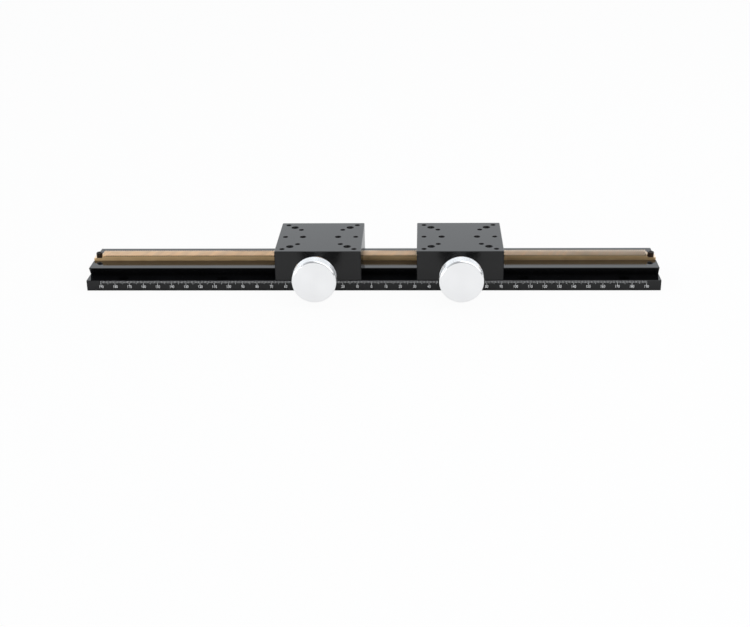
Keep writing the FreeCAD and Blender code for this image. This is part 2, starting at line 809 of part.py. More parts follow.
def pinion_shaft(side):
    """Shaft from the knob to the rear ring, with the pinion cut in it over the rack."""
    body = new_body(side + "_shaft_blank", x=side + "_carriage_x", z="axis_height")
    profile = sketch_on(body, "XY_Plane")
    stub = "stub_diameter / 2"
    journal = "journal_diameter / 2"
    rear = "rear_journal_diameter / 2"
    groove = "ring_groove_diameter / 2"
    outline(profile, [
        ("0", "knob_bore_end + stub_end_gap"),
        (stub, "knob_bore_end + stub_end_gap"),
        (stub, "shoulder"),
        (journal, "shoulder"),
        (journal, "journal_end"),
        (rear, "journal_end"),
        (rear, "ring_start"),
        (groove, "ring_start"),
        (groove, "ring_start + ring_thickness"),
        (rear, "ring_start + ring_thickness"),
        (rear, "shaft_end"),
        ("0", "shaft_end"),
    ])
    revolve(body, profile)
    flat = sketch_on(body, "XY_Plane", lift="-(stub_flat_height)")
    outline(flat, [
        ("-stub_diameter", "set_screw_y - stub_flat_length / 2"),
        ("stub_diameter", "set_screw_y - stub_flat_length / 2"),
        ("stub_diameter", "set_screw_y + stub_flat_length / 2"),
        ("-stub_diameter", "set_screw_y + stub_flat_length / 2"),
    ])
    pocket(body, flat, "stub_diameter")
    shaft = doc.addObject("Part::Fuse", side + "_pinion_shaft")
    shaft.Base = body
    shaft.Tool = pinion_teeth(side)
    shaft.Label = side + "_pinion_shaft"
    doc.recompute()
    return node(shaft)


def retaining_ring(side):
    """Open ring in the shaft's rear groove."""
    body = new_body(side + "_retaining_ring", x=side + "_carriage_x", z="axis_height")
    profile = sketch_on(body, "XY_Plane")
    inner = "ring_groove_diameter / 2 + fit_clearance"
    outer = "ring_diameter / 2"
    start = "ring_start + fit_clearance"
    end = "ring_start + ring_thickness - fit_clearance"
    outline(profile, [(inner, start), (outer, start), (outer, end), (inner, end)])
    revolve(body, profile, angle="ring_span")
    return node(body)


def knob(side):
    """Turned knob: a thick disc with chamfered rims on a slim neck, bored for the shaft from behind."""
    body = new_body(side + "_knob", x=side + "_carriage_x", z="axis_height")
    profile = sketch_on(body, "XY_Plane")
    rim = "knob_diameter / 2"
    neck = "neck_diameter / 2"
    bore = "stub_diameter / 2 + fit_clearance"
    outline(profile, [
        ("0", "knob_face"),
        (rim + " - knob_front_chamfer", "knob_face"),
        (rim, "knob_face + knob_front_chamfer"),
        (rim, "knob_back - knob_rear_chamfer"),
        (rim + " - knob_rear_chamfer", "knob_back"),
        (neck + " + neck_root_chamfer", "knob_back"),
        (neck, "knob_back + neck_root_chamfer"),
        (neck, "shoulder - neck_end_chamfer"),
        (neck + " - neck_end_chamfer", "shoulder"),
        (bore, "shoulder"),
        (bore, "knob_bore_end"),
        ("0", "knob_bore_end"),
    ])
    revolve(body, profile)
    screw = sketch_on(body, "XY_Plane")
    circle(screw, "0", "set_screw_y", "set_screw_diameter + 2 * fit_clearance")
    pocket(body, screw, "neck_diameter")
    return node(body)


def knob_set_screw(side):
    """Set screw through the neck on to the shaft's flat."""
    body = new_body(side + "_knob_set_screw", x=side + "_carriage_x", y="set_screw_y", z="axis_height")
    face = sketch_on(body, "XY_Plane", lift="-(stub_flat_height)")
    circle(face, "0", "0", "set_screw_diameter")
    pad(body, face, "neck_diameter / 2 - stub_flat_height - fit_clearance", flipped=True)
    socket = sketch_on(body, "XY_Plane", lift="-neck_diameter / 2 + fit_clearance")
    hexagon(socket, "set_screw_hex")
    pocket(body, socket, "set_screw_hex_depth", flipped=True)
    return node(body)


# Assembly
dovetail_rail()
gear_rack()
rack_end_screws()
for carriage_side in SIDES:
    carriage_block(carriage_side)
    gib_strip(carriage_side)
    gib_screws(carriage_side)
    bearings(carriage_side)
    pinion_shaft(carriage_side)
    retaining_ring(carriage_side)
    knob(carriage_side)
    knob_set_screw(carriage_side)
doc.recompute()

# Every object is sound before anything is written
for item in doc.Objects:
    if "Invalid" in item.State or "Error" in item.State:
        raise ValueError("%s failed: %s" % (item.Label, item.State))
for item in nodes:
    if item.Shape.isNull() or not item.Shape.isValid():
        raise ValueError("%s has no valid shape" % item.Label)

os.makedirs("parts", exist_ok=True)
for item in nodes:
    item.Shape.exportStep("parts/%s.step" % item.Label)
    print("%-24s %d solids, %.1f mm3" % (item.Label, len(item.Shape.Solids), item.Shape.Volume))
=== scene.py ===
import abc
import functools
import json
import logging
import math
from dataclasses import dataclass
from enum import Enum
from typing import Any, Iterable, Sequence

import bmesh
import bpy
from mathutils import Matrix, Vector


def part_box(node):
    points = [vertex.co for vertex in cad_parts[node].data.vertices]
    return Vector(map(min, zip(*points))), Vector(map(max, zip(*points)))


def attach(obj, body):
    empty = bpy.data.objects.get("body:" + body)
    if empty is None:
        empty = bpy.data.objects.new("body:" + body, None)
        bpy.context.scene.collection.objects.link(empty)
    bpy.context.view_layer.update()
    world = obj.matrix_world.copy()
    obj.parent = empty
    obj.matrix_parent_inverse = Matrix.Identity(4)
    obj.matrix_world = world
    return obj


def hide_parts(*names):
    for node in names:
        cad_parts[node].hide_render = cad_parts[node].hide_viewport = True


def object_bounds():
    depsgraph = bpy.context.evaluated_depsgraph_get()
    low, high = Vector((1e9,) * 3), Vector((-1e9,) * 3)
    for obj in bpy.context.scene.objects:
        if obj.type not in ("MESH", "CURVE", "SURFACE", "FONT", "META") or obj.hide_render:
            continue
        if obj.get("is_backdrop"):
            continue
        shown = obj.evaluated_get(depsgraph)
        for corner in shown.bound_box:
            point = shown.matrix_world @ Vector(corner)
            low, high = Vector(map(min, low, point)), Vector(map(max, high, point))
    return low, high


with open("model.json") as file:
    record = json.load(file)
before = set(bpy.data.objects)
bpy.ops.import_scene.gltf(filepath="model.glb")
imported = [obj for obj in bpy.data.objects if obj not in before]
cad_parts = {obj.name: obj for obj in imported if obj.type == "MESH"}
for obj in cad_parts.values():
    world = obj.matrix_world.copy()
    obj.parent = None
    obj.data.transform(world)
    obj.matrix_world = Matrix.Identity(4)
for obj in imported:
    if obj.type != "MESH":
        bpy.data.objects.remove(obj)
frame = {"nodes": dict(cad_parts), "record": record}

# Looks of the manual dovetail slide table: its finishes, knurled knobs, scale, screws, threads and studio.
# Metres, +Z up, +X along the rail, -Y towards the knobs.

MM = 0.001
TURN = 2 * math.pi
MERGE_DISTANCE = 0.001 * MM
SHARP_ANGLE = math.radians(28)
DRILL_STEPS = 48
HEXAGON_SIDES = 6
LOG = logging.getLogger("slide_table")

Triple = tuple[float, float, float]
Span = tuple[float, float]
Socket = bpy.types.NodeSocket
Profile = Sequence[tuple[float, float]]

WHITE: Triple = (1.0, 1.0, 1.0)
NONE_TO_FULL: Span = (0.0, 1.0)
NOISE_REACH: Span = (0.3, 0.7)


class Slot(Enum):
    """Material slots of the part's record, passed along with added pieces but not given to them."""

    BLACK_ANODISED = "black_anodised"
    BLACK_OXIDE = "black_oxide_steel"
    TURNED_ALUMINIUM = "turned_aluminium"


class Side(Enum):
    """The two carriages, as seen from the knobs."""

    LEFT = "left"
    RIGHT = "right"


class Facing(Enum):
    """Ways that a turned piece's own upward axis can point, as turns about X."""

    UP = 0.0
    FRONT = math.pi / 2
    DOWN = math.pi
    BACK = -math.pi / 2

    def at(self, place: Sequence[float]) -> Matrix:
        """Matrix that turns a piece this way and moves its own origin to a place."""
        return Matrix.Translation(place) @ Matrix.Rotation(self.value, 4, "X")


class Thread(Enum):
    """Tapped threads by their core radius and pitch."""

    M4 = (1.65 * MM, 0.7 * MM)
    M5 = (2.1 * MM, 0.8 * MM)
    M6 = (2.5 * MM, 1.0 * MM)

    @property
    def core(self) -> float:
        """Radius of the tapped hole."""
        return self.value[0]

    @property
    def pitch(self) -> float:
        """Height that the thread winds down in a turn."""
        return self.value[1]

    @classmethod
    def nearest(cls, core_radius: float) -> "Thread":
        """Thread whose core comes nearest to a hole's radius."""
        return min(cls, key=lambda thread: abs(thread.core - core_radius))


class Working(Enum):
    """What one closed shape does to another."""

    CUT = "DIFFERENCE"
    FUSE = "UNION"


class Graph:
    """Node tree of a material or the world, with short ways to add and join its nodes."""

    def __init__(self, owner: bpy.types.Material | bpy.types.World) -> None:
        """Start an empty tree.

        Args:
            owner: Material or world that the tree belongs to.
        """
        owner.use_nodes = True
        self.owner = owner
        self.tree = owner.node_tree
        self.tree.nodes.clear()

    def feed(self, node: bpy.types.Node, inputs: dict[str | int, Any]) -> None:
        """Set a node's inputs to values, or join them to other nodes' outputs.

        Args:
            node: Node whose inputs are set.
            inputs: Values or output sockets, by the input's name or number.
        """
        for name, value in inputs.items():
            if isinstance(value, Socket):
                self.tree.links.new(value, node.inputs[name])
            else:
                node.inputs[name].default_value = value

    def add(self, kind: str, inputs: dict[str | int, Any], output: str, **options: Any) -> Socket:
        """Add a node.

        Args:
            kind: Node type.
            inputs: Values or output sockets, by the input's name or number.
            output: Name of the output that is wanted.
            **options: Properties of the node.

        Returns:
            The named output socket.
        """
        node = self.tree.nodes.new(kind)
        for name, value in options.items():
            setattr(node, name, value)
        self.feed(node, inputs)
        return node.outputs[output]

    def finish(self, output: str, surface: Socket) -> None:
        """Join a surface to the tree's output, a node of the given type."""
        self.feed(self.tree.nodes.new(output), {"Surface": surface})

    def math(self, operation: str, *values: Any) -> Socket:
        """Work out a value from numbers or sockets."""
        return self.add("ShaderNodeMath", dict(enumerate(values)), "Value", operation=operation)

    def vector_math(self, operation: str, output: str, *vectors: Any) -> Socket:
        """Work out a value or a vector, as the output's name says, from vectors."""
        return self.add("ShaderNodeVectorMath", dict(enumerate(vectors)), output, operation=operation)

    def part(self, vector: Socket, axis: str) -> Socket:
        """One of a vector's parts: X, Y or Z."""
        return self.add("ShaderNodeSeparateXYZ", {"Vector": vector}, axis)

    def place(self, centre: Sequence[float] = (0, 0, 0), stretch: Triple = (1, 1, 1)) -> Socket:
        """Object coordinates about a centre.

        Args:
            centre: Point that becomes the pattern's origin.
            stretch: Scale of the pattern's three axes.

        Returns:
            Vector socket.
        """
        coordinates = self.add("ShaderNodeTexCoord", {}, "Object")
        shift = [-middle * scale for middle, scale in zip(centre, stretch)]
        inputs = {"Vector": coordinates, "Location": shift, "Scale": stretch}
        return self.add("ShaderNodeMapping", inputs, "Vector")

    def along(self, direction: Triple) -> Socket:
        """Distance along a direction, as a vector's X, so that a pattern on it runs in bands across."""
        distance = self.vector_math("DOT_PRODUCT", "Value", self.place(), direction)
        return self.add("ShaderNodeCombineXYZ", {"X": distance}, "Vector")

    def lathe(self, centre: Sequence[float]) -> Socket:
        """Coordinates of a piece turned about an axis along Y: its radius, then the place along the axis.

        Args:
            centre: Point on the axis.

        Returns:
            Vector socket, the same all round the axis.
        """
        radius = self.vector_math("LENGTH", "Value", self.place(centre, (1, 0, 1)))
        along = self.part(self.place(centre), "Y")
        return self.add("ShaderNodeCombineXYZ", {"X": radius, "Y": along}, "Vector")

    def noise(self, vector: Socket, size: float, detail: float = 2.0) -> Socket:
        """Cloudy value from 0 to 1.

        Args:
            vector: Where the pattern is read.
            size: Size of its larger spots.
            detail: Number of finer layers.

        Returns:
            Value socket.
        """
        inputs = {"Vector": vector, "Scale": 1 / size, "Detail": detail}
        return self.add("ShaderNodeTexNoise", inputs, "Fac")

    def between(self, value: Socket, span: Span, read: Span = NOISE_REACH) -> Socket:
        """Spread a value over a span.

        Args:
            value: Value socket.
            span: Results at the two ends.
            read: Values that give the two ends.

        Returns:
            Value socket.
        """
        inputs = {"Value": value, "From Min": read[0], "From Max": read[1]}
        inputs |= {"To Min": span[0], "To Max": span[1]}
        return self.add("ShaderNodeMapRange", inputs, "Result")

    def tint(self, value: Socket, first: Triple, last: Triple, read: Span = NOISE_REACH) -> Socket:
        """Colour by a value.

        Args:
            value: Value socket.
            first: Colour at the lower end.
            last: Colour at the upper end.
            read: Values at the two ends, from 0 to 1.

        Returns:
            Colour socket.
        """
        node = self.tree.nodes.new("ShaderNodeValToRGB")
        for element, position, colour in zip(node.color_ramp.elements, read, (first, last)):
            element.position = position
            element.color = (*colour, 1.0)
        self.feed(node, {"Fac": value})
        return node.outputs["Color"]

    def blend(self, first: Socket | float, second: Socket | float, share: Socket | float) -> Socket:
        """Mix two values, with a share of the second."""
        return self.add("ShaderNodeMix", {"Factor": share, "A": first, "B": second}, "Result")

    def times(self, *colours: Socket) -> Socket:
        """Multiply colours together."""
        return functools.reduce(functools.partial(self.vector_math, "MULTIPLY", "Vector"), colours)

    def relief(self, height: Socket, depth: float) -> Socket:
        """Fine relief of the surface, where a value of 1 stands a depth above 0."""
        return self.add("ShaderNodeBump", {"Height": height, "Distance": depth, "Strength": 1.0}, "Normal")

    def facing(self, axis: str) -> Socket:
        """How far the surface faces along an axis, X, Y or Z, either way: from 0 to 1."""
        normal = self.add("ShaderNodeNewGeometry", {}, "Normal")
        return self.math("ABSOLUTE", self.part(normal, axis))

    def outside(self, centre: Vector, reach: Vector, fade: float) -> Socket:
        """Value that is 0 on the ground below an oblong, and rises to 1 round it.

        Args:
            centre: Middle of the oblong.
            reach: Half of its sizes.
            fade: Distance from the oblong at which the value is 1.

        Returns:
            Value socket.
        """
        away = self.vector_math("ABSOLUTE", "Vector", self.place(centre))
        beyond = self.vector_math("SUBTRACT", "Vector", away, reach)
        distance = self.math("MAXIMUM", self.part(beyond, "X"), self.part(beyond, "Y"))
        return self.between(distance, NONE_TO_FULL, (0.0, fade))

    def seen(self, *rays: str) -> Socket:
        """Value that is 1 for the named kinds of ray, such as Camera or Glossy, and 0 for others."""
        kinds = [self.add("ShaderNodeLightPath", {}, "Is %s Ray" % ray) for ray in rays]
        return functools.reduce(functools.partial(self.math, "MAXIMUM"), kinds)


class Finish(abc.ABC):
    """Surface finish that makes a material of its own."""

    name: str

    @abc.abstractmethod
    def inputs(self, graph: Graph) -> dict[str, Any]:
        """Work out the shader's inputs.

        Args:
            graph: Tree of the finish's material.

        Returns:
            Values or output sockets by the input's name.
        """

    def material(self) -> bpy.types.Material:
        """Make the finish's material.

        Returns:
            The material, named as the finish is.
        """
        graph = Graph(bpy.data.materials.new(self.name))
        surface = graph.add("ShaderNodeBsdfPrincipled", self.inputs(graph), "BSDF")
        graph.finish("ShaderNodeOutputMaterial", surface)
        return graph.owner


@dataclass(frozen=True)
class SatinAnodised(Finish):
    """Black anodised aluminium: blasted grain and faint cutter lines, smoother on its ground flats."""

    name: str = "satin_black_anodised"
    dark: Triple = (0.0028, 0.0028, 0.0031)
    light: Triple = (0.0055, 0.0055, 0.0060)
    roughness: Span = (0.20, 0.28)
    ground_roughness: Span = (0.03, 0.06)
    flat_facing: Span = (0.9, 0.99)
    gloss: float = 0.38
    grain: float = 0.2 * MM
    cloud: float = 11 * MM
    cloud_detail: float = 4.0
    line: float = 0.5 * MM
    line_stretch: Triple = (0.03, 1.0, 1.0)
    line_relief_share: float = 0.35
    line_tint_share: float = 0.4
    relief_wear_share: float = 0.5
    depth: float = 0.0025 * MM

    def inputs(self, graph: Graph) -> dict[str, Any]:
        """Work out the shader's inputs.

        Args:
            graph: Tree of the finish's material.

        Returns:
            Values or output sockets by the input's name.
        """
        grain = graph.noise(graph.place(), self.grain)
        lines = graph.noise(graph.place(stretch=self.line_stretch), self.line)
        cloud = graph.noise(graph.place(), self.cloud, self.cloud_detail)
        surface = graph.blend(grain, lines, self.line_relief_share)
        wear = graph.blend(cloud, surface, self.relief_wear_share)
        milled = graph.between(wear, self.roughness)
        ground = graph.between(wear, self.ground_roughness)
        flat = graph.between(graph.facing("Z"), NONE_TO_FULL, self.flat_facing)
        stain = graph.blend(cloud, lines, self.line_tint_share)
        return {
            "Base Color": graph.tint(stain, self.dark, self.light),
            "Roughness": graph.blend(milled, ground, flat),
            "Specular IOR Level": self.gloss,
            "Normal": graph.relief(surface, self.depth),
        }


@dataclass(frozen=True)
class MachinedBrass(Finish):
    """Brass bar drawn along its length and cut into teeth: bright tips, duller sides, and painted shade
    that darkens the tooth gaps towards their root.
    """

    tip: float
    tooth_height: float = 1.125 * MM
    name: str = "machined_brass"
    clean: Triple = (0.95, 0.76, 0.57)
    dull: Triple = (0.86, 0.64, 0.44)
    side: Triple = (0.96, 0.86, 0.64)
    # Near-black colour of the painted shade at the root of the tooth gaps.
    gap: Triple = (0.02, 0.012, 0.008)
    gap_reach: Span = (0.34, 0.62)
    gap_share: Span = (0.3, 1.8)
    gap_patch: float = 2.2 * MM
    root_margin: float = 0.1 * MM
    helix: float = math.radians(20)
    roughness: Span = (0.16, 0.24)
    side_roughness: Span = (0.38, 0.50)
    front_facing: Span = (0.6, 0.9)
    end_facing: Span = (0.93, 0.98)
    cloud: float = 5 * MM
    cloud_detail: float = 5.0
    line: float = 0.25 * MM
    line_stretch: Triple = (0.02, 1.0, 1.0)
    line_tint_share: float = 0.45
    line_wear_share: float = 0.6
    depth: float = 0.004 * MM

    def inputs(self, graph: Graph) -> dict[str, Any]:
        """Work out the shader's inputs.

        Args:
            graph: Tree of the finish's material.

        Returns:
            Values or output sockets by the input's name.
        """
        cloud = graph.noise(graph.place(), self.cloud, self.cloud_detail)
        lines = graph.noise(graph.place(stretch=self.line_stretch), self.line)
        height = graph.part(graph.place(), "Z")
        root = self.tip - self.tooth_height
        fronts = graph.between(graph.facing("Y"), NONE_TO_FULL, self.front_facing)
        ends = graph.between(graph.facing("X"), NONE_TO_FULL, self.end_facing)
        sides = graph.math("MAXIMUM", fronts, ends)
        shelf = graph.math("LESS_THAN", height, root - self.root_margin)
        toothed = graph.math("SUBTRACT", 1.0, graph.math("MAXIMUM", sides, shelf))
        # Painted shade: the tooth gaps darken towards the root, nearly to black, in uneven patches along
        # the rack; the shelf below the teeth and the side and end faces are left out.
        sunk = graph.between(height, (1.0, 0.0), (root, self.tip))
        across_teeth = (math.cos(self.helix), -math.sin(self.helix), 0.0)
        patches = graph.noise(graph.along(across_teeth), self.gap_patch)
        patchy_depth = graph.math("MULTIPLY", sunk, graph.between(patches, self.gap_share))
        gap_shade = graph.math("MULTIPLY", patchy_depth, toothed)
        metal = graph.tint(graph.blend(cloud, lines, self.line_tint_share), self.dull, self.clean)
        shade_tint = graph.tint(gap_shade, WHITE, self.gap, self.gap_reach)
        tarnish = graph.tint(sides, WHITE, self.side, NONE_TO_FULL)
        wear = graph.blend(cloud, lines, self.line_wear_share)
        cut = graph.between(wear, self.roughness)
        drawn = graph.between(wear, self.side_roughness)
        return {
            "Base Color": graph.times(metal, shade_tint, tarnish),
            "Metallic": 1.0,
            "Roughness": graph.blend(cut, drawn, sides),
            "Normal": graph.relief(lines, self.depth),
        }


@dataclass(frozen=True)
class TurnedMetal(Finish):
    """Metal turned on a lathe about an axis along Y, with fine feed marks and broader rings."""

    name: str
    centre: Sequence[float]
    dark: Triple
    light: Triple
    roughness: Span
    mark: float = 0.09 * MM
    ring: float = 0.9 * MM
    ring_detail: float = 3.0
    ring_tint_share: float = 0.6
    ring_wear_share: float = 0.5
    ring_relief_share: float = 0.3
    depth: float = 0.002 * MM
    anisotropy: float = 0.0
    anisotropy_turn: float = 0.25

    def inputs(self, graph: Graph) -> dict[str, Any]:
        """Work out the shader's inputs.

        Args:
            graph: Tree of the finish's material.

        Returns:
            Values or output sockets by the input's name.
        """
        place = graph.lathe(self.centre)
        marks = graph.noise(place, self.mark)
        rings = graph.noise(place, self.ring, self.ring_detail)
        stain = graph.blend(marks, rings, self.ring_tint_share)
        wear = graph.blend(marks, rings, self.ring_wear_share)
        surface = graph.blend(marks, rings, self.ring_relief_share)
        tangent = graph.add("ShaderNodeTangent", {}, "Tangent", direction_type="RADIAL", axis="Y")
        return {
            "Base Color": graph.tint(stain, self.dark, self.light),
            "Metallic": 1.0,
            "Roughness": graph.between(wear, self.roughness),
            "Anisotropic": self.anisotropy,
            "Anisotropic Rotation": self.anisotropy_turn,
            "Tangent": tangent,
            "Normal": graph.relief(surface, self.depth),
        }


@dataclass(frozen=True)
class SpeckledMetal(Finish):
    """Metal with a fine mottle, such as pressed bearing bronze or blackened steel."""

    name: str
    dark: Triple
    light: Triple
    roughness: Span
    grain: float = 0.12 * MM
    cloud: float = 2.5 * MM
    cloud_detail: float = 4.0
    cloud_share: float = 0.55
    depth: float = 0.006 * MM

    def inputs(self, graph: Graph) -> dict[str, Any]:
        """Work out the shader's inputs.

        Args:
            graph: Tree of the finish's material.

        Returns:
            Values or output sockets by the input's name.
        """
        grain = graph.noise(graph.place(), self.grain)
        cloud = graph.noise(graph.place(), self.cloud, self.cloud_detail)
        mottle = graph.blend(grain, cloud, self.cloud_share)
        return {
            "Base Color": graph.tint(mottle, self.dark, self.light),
            "Metallic": 1.0,
            "Roughness": graph.between(mottle, self.roughness),
            "Normal": graph.relief(grain, self.depth),
        }


@dataclass(frozen=True)
class MarkingPaint(Finish):
    """White marking paint, a little uneven."""

    name: str = "white_marking_paint"
    dark: Triple = (0.80, 0.80, 0.80)
    light: Triple = (0.94, 0.94, 0.94)
    roughness: Span = (0.45, 0.6)
    patch: float = 0.6 * MM
    patch_detail: float = 3.0

    def inputs(self, graph: Graph) -> dict[str, Any]:
        """Work out the shader's inputs.

        Args:
            graph: Tree of the finish's material.

        Returns:
            Values or output sockets by the input's name.
        """
        patches = graph.noise(graph.place(), self.patch, self.patch_detail)
        return {
            "Base Color": graph.tint(patches, self.dark, self.light),
            "Roughness": graph.between(patches, self.roughness),
        }


class Palette:
    """Materials that several pieces share, made once each."""

    def __init__(self, tooth_tip: float) -> None:
        """Make the shared materials.

        Args:
            tooth_tip: Height of the tops of the rack's teeth.
        """
        self.anodised = SatinAnodised().material()
        self.brass = MachinedBrass(tooth_tip).material()
        self.bronze = SpeckledMetal(
            "bearing_bronze", dark=(0.36, 0.21, 0.10), light=(0.52, 0.33, 0.17), roughness=(0.30, 0.45),
        ).material()
        self.oxide = SpeckledMetal(
            "black_oxide_steel", dark=(0.022, 0.018, 0.016), light=(0.050, 0.040, 0.035),
            roughness=(0.28, 0.42),
        ).material()
        self.paint = MarkingPaint().material()


def spun(profile: Profile, steps: int) -> bmesh.types.BMesh:
    """Spin an open profile about the upright axis.

    Args:
        profile: Radius and height of each of its points.
        steps: Number of steps round the axis.

    Returns:
        The spun shape.
    """
    shape = bmesh.new()
    points = [shape.verts.new((radius, 0, height)) for radius, height in profile]
    edges = [shape.edges.new(pair) for pair in zip(points, points[1:])]
    bmesh.ops.spin(
        shape, geom=points + edges, cent=(0, 0, 0), axis=(0, 0, 1), angle=TURN, steps=steps, use_merge=True,
    )
    tidy(shape)
    return shape


def wound(profile: Profile, angle: float, steps: int, drop: float = 0.0) -> bmesh.types.BMesh:
    """Wind a closed profile about the upright axis, and close the shape's two ends.

    Args:
        profile: Radius and height of each of its corners.
        angle: Angle that it is wound through.
        steps: Number of steps on the way.
        drop: How far it goes down in a step.

    Returns:
        The wound shape.
    """
    shape = bmesh.new()
    points = [shape.verts.new((radius, 0, height)) for radius, height in profile]
    edges = [shape.edges.new((points[i - 1], points[i])) for i in range(len(points))]
    bmesh.ops.spin(
        shape, geom=points + edges, cent=(0, 0, 0), axis=(0, 0, 1), angle=angle, steps=steps,
        dvec=(0, 0, -drop),
    )
    bmesh.ops.holes_fill(shape, edges=[edge for edge in shape.edges if edge.is_boundary], sides=len(points))
    tidy(shape)
    return shape


def tidy(shape: bmesh.types.BMesh) -> None:
    """Merge a shape's doubled points and turn its faces outwards."""
    bmesh.ops.remove_doubles(shape, verts=shape.verts, dist=MERGE_DISTANCE)
    bmesh.ops.recalc_face_normals(shape, faces=shape.faces)


def shade(shape: bmesh.types.BMesh) -> None:
    """Shade a shape smoothly, apart from its sharp edges.

    Args:
        shape: Shape that is shaded.
    """
    for face in shape.faces:
        face.smooth = True
    for edge in shape.edges:
        edge.smooth = edge.calc_face_angle(0.0) < SHARP_ANGLE


def spread(start: float, end: float, steps: int) -> list[float]:
    """Evenly spaced values from a start to an end, in a number of steps."""
    return [start + (end - start) * i / steps for i in range(steps + 1)]


def arc(centre: tuple[float, float], radius: float, start: float, end: float, steps: int) -> Profile:
    """Points along a round stretch of a profile.

    Args:
        centre: Radius and height of the round's centre.
        radius: Radius of the round.
        start: Angle of its first point, from the outward direction.
        end: Angle of its last point.
        steps: Number of steps between them.

    Returns:
        Radius and height of each point.
    """
    turns = spread(start, end, steps)
    return [(centre[0] + radius * math.cos(turn), centre[1] + radius * math.sin(turn)) for turn in turns]


def band_faces(shape: bmesh.types.BMesh, heights: Span, inside: float) -> list[bmesh.types.BMFace]:
    """Find the faces of an upright round band.

    Args:
        shape: Shape that has the band.
        heights: Heights of the band's lower and upper edge.
        inside: Radius that the band's points lie beyond.

    Returns:
        Faces whose points all lie on the band.
    """
    low, high = heights[0] - MERGE_DISTANCE, heights[1] + MERGE_DISTANCE
    points = {vert for vert in shape.verts if low < vert.co.z < high and vert.co.xy.length > inside}
    return [face for face in shape.faces if points.issuperset(face.verts)]


def knurl(shape: bmesh.types.BMesh, heights: Span, inside: float, depth: float) -> None:
    """Raise a diamond knurl on an upright round band of square faces.

    Args:
        shape: Shape that has the band.
        heights: Heights of the band's lower and upper edge.
        inside: Radius that the band's points lie beyond.
        depth: Height of each diamond.
    """
    band = band_faces(shape, heights, inside)
    members = set(band)
    grid = {edge for face in band for edge in face.edges if members.issuperset(edge.link_faces)}
    bmesh.ops.poke(shape, faces=band)
    bmesh.ops.dissolve_edges(shape, edges=list(grid))
    diamonds = [face for face in band_faces(shape, heights, inside) if len(face.verts) == 4]
    bmesh.ops.poke(shape, faces=diamonds, offset=depth)


def rod(radius: float, length: float, placing: Matrix) -> bmesh.types.BMesh:
    """Model a plain round rod, such as a drill's.

    Args:
        radius: Radius of the rod.
        length: Length of the rod.
        placing: Matrix that places it, its middle at the origin and its axis upright.

    Returns:
        The rod's closed shape.
    """
    shape = bmesh.new()
    bmesh.ops.create_cone(
        shape, cap_ends=True, segments=DRILL_STEPS, radius1=radius, radius2=radius, depth=length,
        matrix=placing,
    )
    return shape


def mesh_of(name: str, shape: bmesh.types.BMesh) -> bpy.types.Mesh:
    """Make a shape a mesh.

    Args:
        name: Name of the mesh.
        shape: The shape, used up here.

    Returns:
        The mesh.
    """
    mesh = bpy.data.meshes.new(name)
    shape.to_mesh(mesh)
    shape.free()
    return mesh


def in_scene(name: str, data: bpy.types.ID) -> bpy.types.Object:
    """Put a mesh, a lamp or a camera in the scene.

    Args:
        name: Name of its object.
        data: The mesh, lamp or camera.

    Returns:
        The object that holds it.
    """
    holder = bpy.data.objects.new(name, data)
    bpy.context.scene.collection.objects.link(holder)
    return holder


def combined(shape: bmesh.types.BMesh, tool: bmesh.types.BMesh, work: Working) -> bmesh.types.BMesh:
    """Cut one closed shape out of another, or fuse the two.

    Args:
        shape: Shape that is worked on, used up here.
        tool: Shape that is taken away or added, used up here.
        work: What is done.

    Returns:
        The shape that comes out.
    """
    blank = in_scene("blank", mesh_of("blank", shape))
    worker = in_scene("tool", mesh_of("tool", tool))
    modifier = blank.modifiers.new("work", "BOOLEAN")
    modifier.object = worker
    modifier.operation = work.value
    evaluated = blank.evaluated_get(bpy.context.evaluated_depsgraph_get())
    result = bmesh.new()
    result.from_mesh(evaluated.to_mesh())
    evaluated.to_mesh_clear()
    for used in (blank, worker):
        mesh = used.data
        bpy.data.objects.remove(used)
        bpy.data.meshes.remove(mesh)
    tidy(result)
    return result


def joined(shapes: Iterable[tuple[bmesh.types.BMesh, Matrix]]) -> bmesh.types.BMesh:
    """Put several shapes in one.

    Args:
        shapes: Shapes, used up here, with the matrix that places each.

    Returns:
        The joined shape.
    """
    whole = bmesh.new()
    for shape, matrix in shapes:
        mesh = mesh_of("member", shape)
        mesh.transform(matrix)
        whole.from_mesh(mesh)
        bpy.data.meshes.remove(mesh)
    return whole


def add_piece(
    name: str, shape: bmesh.types.BMesh, body: str, slot: Slot | None, material: bpy.types.Material,
) -> bpy.types.Object:
    """Make a finished shape a piece of the table.

    Args:
        name: Name of the piece.
        shape: Its shape, in place and used up here.
        body: Body that it rides on.
        slot: Slot of the record for its finish, or none for paint; not used.
        material: Its material.

    Returns:
        The piece's object.
    """
    mesh = mesh_of(name, shape)
    mesh.materials.append(material)
    piece = in_scene(name, mesh)
    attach(piece, body)
    LOG.info("%s: %d faces, on %s", name, len(mesh.polygons), body)
    return piece


def dress_node(node: str, material: bpy.types.Material) -> None:
    """Give a solid of the frame its material.

    Args:
        node: Name of the solid.
        material: Its material.
    """
    mesh = frame["nodes"][node].data
    mesh.materials.clear()
    mesh.materials.append(material)
    LOG.info("%s: dressed in %s", node, material.name)


